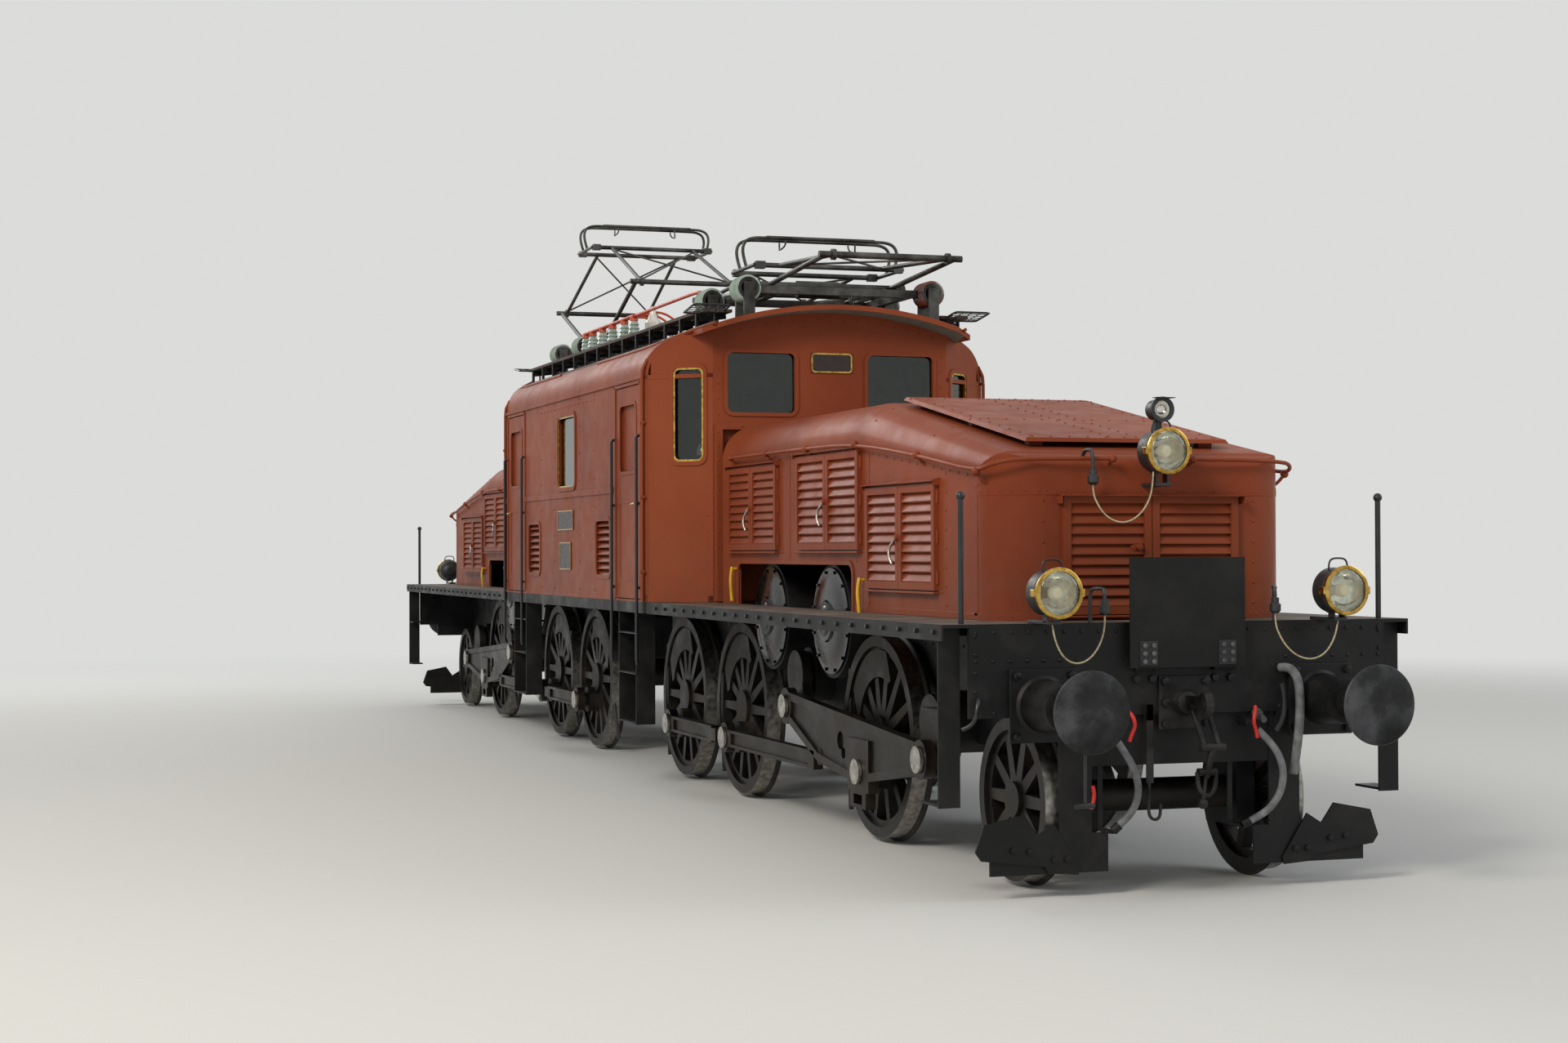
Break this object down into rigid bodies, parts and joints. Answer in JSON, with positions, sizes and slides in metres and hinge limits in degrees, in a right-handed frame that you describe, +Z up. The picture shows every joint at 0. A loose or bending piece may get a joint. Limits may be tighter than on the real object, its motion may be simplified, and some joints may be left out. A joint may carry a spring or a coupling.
{
  "type": "electric locomotive",
  "caption": "Articulated electric locomotive: central cab on two hinged nose bogies with spoked wheels, side rods and diamond pantographs.",
  "frame": {"origin": "on the floor under the middle of the locomotive, at the lowest point of the wheel flanges", "axes": "+X forward, towards the folded pantograph; +Y left; +Z up"},
  "size_m": [19.4, 2.95, 5.3332],
  "materials": {
    "body_paint": "gloss",
    "black_frame": "satin",
    "board_plate": "matte",
    "flap_paint": "matte",
    "lamp_paint": "satin",
    "hose_rubber": "matte",
    "wheel_steel": "satin",
    "rod_steel": "satin",
    "cab_inside": "satin",
    "glass": "clear",
    "walkway_wood": "matte",
    "bus_bar_paint": "satin",
    "pantograph_steel": "satin"
  },
  "bodies": {
    "cab": {"cab_walls": "body_paint", "cab_roof": "body_paint", "cab_underframe": "black_frame", "cab_fittings": "cab_inside", "cab_glazing": "glass", "transformer": "cab_inside", "roof_walkways": "walkway_wood", "roof_conductors": "bus_bar_paint", "pantograph_bases": "pantograph_steel"},
    "front_bogie": {"front_bogie_frame": "black_frame", "front_running_board": "board_plate", "front_hood": "body_paint", "front_louvre_doors": "body_paint", "front_motors": "black_frame", "front_buffers": "black_frame", "front_coupling": "black_frame", "front_headlamps": "lamp_paint", "front_hoses": "hose_rubber"},
    "front_flap": {"front_flap_plate": "flap_paint"},
    "front_drive_axle_1": {"front_drive_axle_1": "wheel_steel"},
    "front_drive_axle_2": {"front_drive_axle_2": "wheel_steel"},
    "front_drive_axle_3": {"front_drive_axle_3": "wheel_steel"},
    "front_jackshaft": {"front_jackshaft": "wheel_steel"},
    "front_blind_shaft": {"front_blind_shaft": "wheel_steel"},
    "front_carrying_axle": {"front_carrying_axle": "wheel_steel"},
    "front_right_rods": {"front_right_rods": "rod_steel"},
    "front_left_rods": {"front_left_rods": "rod_steel"},
    "rear_bogie": {"rear_bogie_frame": "black_frame", "rear_running_board": "board_plate", "rear_hood": "body_paint", "rear_louvre_doors": "body_paint", "rear_motors": "black_frame", "rear_buffers": "black_frame", "rear_coupling": "black_frame", "rear_headlamps": "lamp_paint", "rear_hoses": "hose_rubber"},
    "rear_flap": {"rear_flap_plate": "flap_paint"},
    "rear_drive_axle_1": {"rear_drive_axle_1": "wheel_steel"},
    "rear_drive_axle_2": {"rear_drive_axle_2": "wheel_steel"},
    "rear_drive_axle_3": {"rear_drive_axle_3": "wheel_steel"},
    "rear_jackshaft": {"rear_jackshaft": "wheel_steel"},
    "rear_blind_shaft": {"rear_blind_shaft": "wheel_steel"},
    "rear_carrying_axle": {"rear_carrying_axle": "wheel_steel"},
    "rear_left_rods": {"rear_left_rods": "rod_steel"},
    "rear_right_rods": {"rear_right_rods": "rod_steel"},
    "front_left_door": {"front_left_door": "body_paint"},
    "front_right_door": {"front_right_door": "body_paint"},
    "rear_left_door": {"rear_left_door": "body_paint"},
    "rear_right_door": {"rear_right_door": "body_paint"},
    "front_pantograph_front_lower_arm": {"front_pantograph_front_lower_arm": "pantograph_steel"},
    "front_pantograph_front_upper_arm": {"front_pantograph_front_upper_arm": "pantograph_steel"},
    "front_pantograph_rear_lower_arm": {"front_pantograph_rear_lower_arm": "pantograph_steel"},
    "front_pantograph_rear_upper_arm": {"front_pantograph_rear_upper_arm": "pantograph_steel"},
    "front_pantograph_bow": {"front_pantograph_bow": "pantograph_steel"},
    "rear_pantograph_front_lower_arm": {"rear_pantograph_front_lower_arm": "pantograph_steel"},
    "rear_pantograph_front_upper_arm": {"rear_pantograph_front_upper_arm": "pantograph_steel"},
    "rear_pantograph_rear_lower_arm": {"rear_pantograph_rear_lower_arm": "pantograph_steel"},
    "rear_pantograph_rear_upper_arm": {"rear_pantograph_rear_upper_arm": "pantograph_steel"},
    "rear_pantograph_bow": {"rear_pantograph_bow": "pantograph_steel"}
  },
  "joints": [
    {"name": "front_bogie_swing", "type": "hinge", "parent": "cab", "child": "front_bogie", "pos_m": [2.425, 0, 1.298], "axis": [0, 0, 1], "range_deg": [-2.5, 2.5]},
    {"name": "front_flap_fold", "type": "hinge", "parent": "front_bogie", "child": "front_flap", "pos_m": [9.078, 0, 1.278], "axis": [0, 1, 0], "range_deg": [0, 90]},
    {"name": "front_drive_axle_1_roll", "type": "hinge", "parent": "front_bogie", "child": "front_drive_axle_1", "pos_m": [6.3, 0, 0.703], "axis": [0, 1, 0], "continuous": true},
    {"name": "front_drive_axle_2_roll", "type": "hinge", "parent": "front_bogie", "child": "front_drive_axle_2", "pos_m": [3.25, 0, 0.703], "axis": [0, 1, 0], "continuous": true},
    {"name": "front_drive_axle_3_roll", "type": "hinge", "parent": "front_bogie", "child": "front_drive_axle_3", "pos_m": [1.6, 0, 0.703], "axis": [0, 1, 0], "continuous": true},
    {"name": "front_jackshaft_roll", "type": "hinge", "parent": "front_bogie", "child": "front_jackshaft", "pos_m": [4.775, 0, 1.043], "axis": [0, 1, 0], "continuous": true},
    {"name": "front_blind_shaft_roll", "type": "hinge", "parent": "front_bogie", "child": "front_blind_shaft", "pos_m": [7.4, 0, 0.873], "axis": [0, 1, 0], "continuous": true},
    {"name": "front_carrying_axle_roll", "type": "hinge", "parent": "front_bogie", "child": "front_carrying_axle", "pos_m": [8.5, 0, 0.503], "axis": [0, 1, 0], "continuous": true},
    {"name": "front_right_rods_pin", "type": "hinge", "parent": "front_drive_axle_2", "child": "front_right_rods", "pos_m": [3.34608, -0.96, 0.48307], "axis": [0, 1, 0], "continuous": true},
    {"name": "front_left_rods_pin", "type": "hinge", "parent": "front_drive_axle_2", "child": "front_left_rods", "pos_m": [3.46993, 0.96, 0.79908], "axis": [0, 1, 0], "continuous": true},
    {"name": "rear_bogie_swing", "type": "hinge", "parent": "cab", "child": "rear_bogie", "pos_m": [-2.425, 0, 1.298], "axis": [0, 0, 1], "range_deg": [-2.5, 2.5]},
    {"name": "rear_flap_fold", "type": "hinge", "parent": "rear_bogie", "child": "rear_flap", "pos_m": [-9.078, 0, 1.278], "axis": [0, -1, 0], "range_deg": [0, 90]},
    {"name": "rear_drive_axle_1_roll", "type": "hinge", "parent": "rear_bogie", "child": "rear_drive_axle_1", "pos_m": [-6.3, 0, 0.703], "axis": [0, 1, 0], "continuous": true},
    {"name": "rear_drive_axle_2_roll", "type": "hinge", "parent": "rear_bogie", "child": "rear_drive_axle_2", "pos_m": [-3.25, 0, 0.703], "axis": [0, 1, 0], "continuous": true},
    {"name": "rear_drive_axle_3_roll", "type": "hinge", "parent": "rear_bogie", "child": "rear_drive_axle_3", "pos_m": [-1.6, 0, 0.703], "axis": [0, 1, 0], "continuous": true},
    {"name": "rear_jackshaft_roll", "type": "hinge", "parent": "rear_bogie", "child": "rear_jackshaft", "pos_m": [-4.775, 0, 1.043], "axis": [0, 1, 0], "continuous": true},
    {"name": "rear_blind_shaft_roll", "type": "hinge", "parent": "rear_bogie", "child": "rear_blind_shaft", "pos_m": [-7.4, 0, 0.873], "axis": [0, 1, 0], "continuous": true},
    {"name": "rear_carrying_axle_roll", "type": "hinge", "parent": "rear_bogie", "child": "rear_carrying_axle", "pos_m": [-8.5, 0, 0.503], "axis": [0, 1, 0], "continuous": true},
    {"name": "rear_left_rods_pin", "type": "hinge", "parent": "rear_drive_axle_2", "child": "rear_left_rods", "pos_m": [-3.03007, 0.96, 0.60692], "axis": [0, 1, 0], "continuous": true},
    {"name": "rear_right_rods_pin", "type": "hinge", "parent": "rear_drive_axle_2", "child": "rear_right_rods", "pos_m": [-3.34608, -0.96, 0.48307], "axis": [0, 1, 0], "continuous": true},
    {"name": "front_left_door_swing", "type": "hinge", "parent": "cab", "child": "front_left_door", "pos_m": [1.848, 1.415, 2.428], "axis": [0, 0, -1], "range_deg": [0, 85]},
    {"name": "front_right_door_swing", "type": "hinge", "parent": "cab", "child": "front_right_door", "pos_m": [1.848, -1.415, 2.428], "axis": [0, 0, 1], "range_deg": [0, 85]},
    {"name": "rear_left_door_swing", "type": "hinge", "parent": "cab", "child": "rear_left_door", "pos_m": [-1.848, 1.415, 2.428], "axis": [0, 0, 1], "range_deg": [0, 85]},
    {"name": "rear_right_door_swing", "type": "hinge", "parent": "cab", "child": "rear_right_door", "pos_m": [-1.848, -1.415, 2.428], "axis": [0, 0, -1], "range_deg": [0, 85]},
    {"name": "front_pantograph_front_lower_lift", "type": "hinge", "parent": "cab", "child": "front_pantograph_front_lower_arm", "pos_m": [3.05, 0, 4.078], "axis": [0, -1, 0], "range_deg": [0, 45]},
    {"name": "front_pantograph_front_upper_fold", "type": "hinge", "parent": "front_pantograph_front_lower_arm", "child": "front_pantograph_front_upper_arm", "pos_m": [4.44768, 0, 4.15859], "axis": [0, 1, 0], "range_deg": [0, 90]},
    {"name": "front_pantograph_rear_lower_lift", "type": "hinge", "parent": "cab", "child": "front_pantograph_rear_lower_arm", "pos_m": [2.45, 0, 4.078], "axis": [0, 1, 0], "range_deg": [0, 45]},
    {"name": "front_pantograph_rear_upper_fold", "type": "hinge", "parent": "front_pantograph_rear_lower_arm", "child": "front_pantograph_rear_upper_arm", "pos_m": [1.05232, 0, 4.15859], "axis": [0, -1, 0], "range_deg": [0, 90]},
    {"name": "front_pantograph_bow_level", "type": "hinge", "parent": "front_pantograph_front_upper_arm", "child": "front_pantograph_bow", "pos_m": [3.05, 0, 4.23918], "axis": [0, -1, 0], "range_deg": [0, 45]},
    {"name": "rear_pantograph_front_lower_lift", "type": "hinge", "parent": "cab", "child": "rear_pantograph_front_lower_arm", "pos_m": [-2.45, 0, 4.078], "axis": [0, -1, 0], "range_deg": [-17.3, 27.7]},
    {"name": "rear_pantograph_front_upper_fold", "type": "hinge", "parent": "rear_pantograph_front_lower_arm", "child": "rear_pantograph_front_upper_arm", "pos_m": [-1.13952, 0, 4.57058], "axis": [0, 1, 0], "range_deg": [-34.6, 55.4]},
    {"name": "rear_pantograph_rear_lower_lift", "type": "hinge", "parent": "cab", "child": "rear_pantograph_rear_lower_arm", "pos_m": [-3.05, 0, 4.078], "axis": [0, 1, 0], "range_deg": [-17.3, 27.7]},
    {"name": "rear_pantograph_rear_upper_fold", "type": "hinge", "parent": "rear_pantograph_rear_lower_arm", "child": "rear_pantograph_rear_upper_arm", "pos_m": [-4.36048, 0, 4.57058], "axis": [0, -1, 0], "range_deg": [-34.6, 55.4]},
    {"name": "rear_pantograph_bow_level", "type": "hinge", "parent": "rear_pantograph_front_upper_arm", "child": "rear_pantograph_bow", "pos_m": [-2.45, 0, 5.06316], "axis": [0, -1, 0], "range_deg": [-17.3, 27.7]}
  ],
  "couplings": [
    {"joint": "front_drive_axle_1_roll", "follows": "front_drive_axle_2_roll", "ratio": 1},
    {"joint": "front_drive_axle_3_roll", "follows": "front_drive_axle_2_roll", "ratio": 1},
    {"joint": "front_jackshaft_roll", "follows": "front_drive_axle_2_roll", "ratio": 1},
    {"joint": "front_blind_shaft_roll", "follows": "front_drive_axle_2_roll", "ratio": 1},
    {"joint": "front_right_rods_pin", "follows": "front_drive_axle_2_roll", "ratio": -1},
    {"joint": "front_left_rods_pin", "follows": "front_drive_axle_2_roll", "ratio": -1},
    {"joint": "rear_drive_axle_1_roll", "follows": "rear_drive_axle_2_roll", "ratio": 1},
    {"joint": "rear_drive_axle_3_roll", "follows": "rear_drive_axle_2_roll", "ratio": 1},
    {"joint": "rear_jackshaft_roll", "follows": "rear_drive_axle_2_roll", "ratio": 1},
    {"joint": "rear_blind_shaft_roll", "follows": "rear_drive_axle_2_roll", "ratio": 1},
    {"joint": "rear_left_rods_pin", "follows": "rear_drive_axle_2_roll", "ratio": -1},
    {"joint": "rear_right_rods_pin", "follows": "rear_drive_axle_2_roll", "ratio": -1},
    {"joint": "front_pantograph_front_upper_fold", "follows": "front_pantograph_front_lower_lift", "ratio": 2},
    {"joint": "front_pantograph_rear_lower_lift", "follows": "front_pantograph_front_lower_lift", "ratio": 1},
    {"joint": "front_pantograph_rear_upper_fold", "follows": "front_pantograph_front_lower_lift", "ratio": 2},
    {"joint": "front_pantograph_bow_level", "follows": "front_pantograph_front_lower_lift", "ratio": 1},
    {"joint": "rear_pantograph_front_upper_fold", "follows": "rear_pantograph_front_lower_lift", "ratio": 2},
    {"joint": "rear_pantograph_rear_lower_lift", "follows": "rear_pantograph_front_lower_lift", "ratio": 1},
    {"joint": "rear_pantograph_rear_upper_fold", "follows": "rear_pantograph_front_lower_lift", "ratio": 2},
    {"joint": "rear_pantograph_bow_level", "follows": "rear_pantograph_front_lower_lift", "ratio": 1}
  ]
}
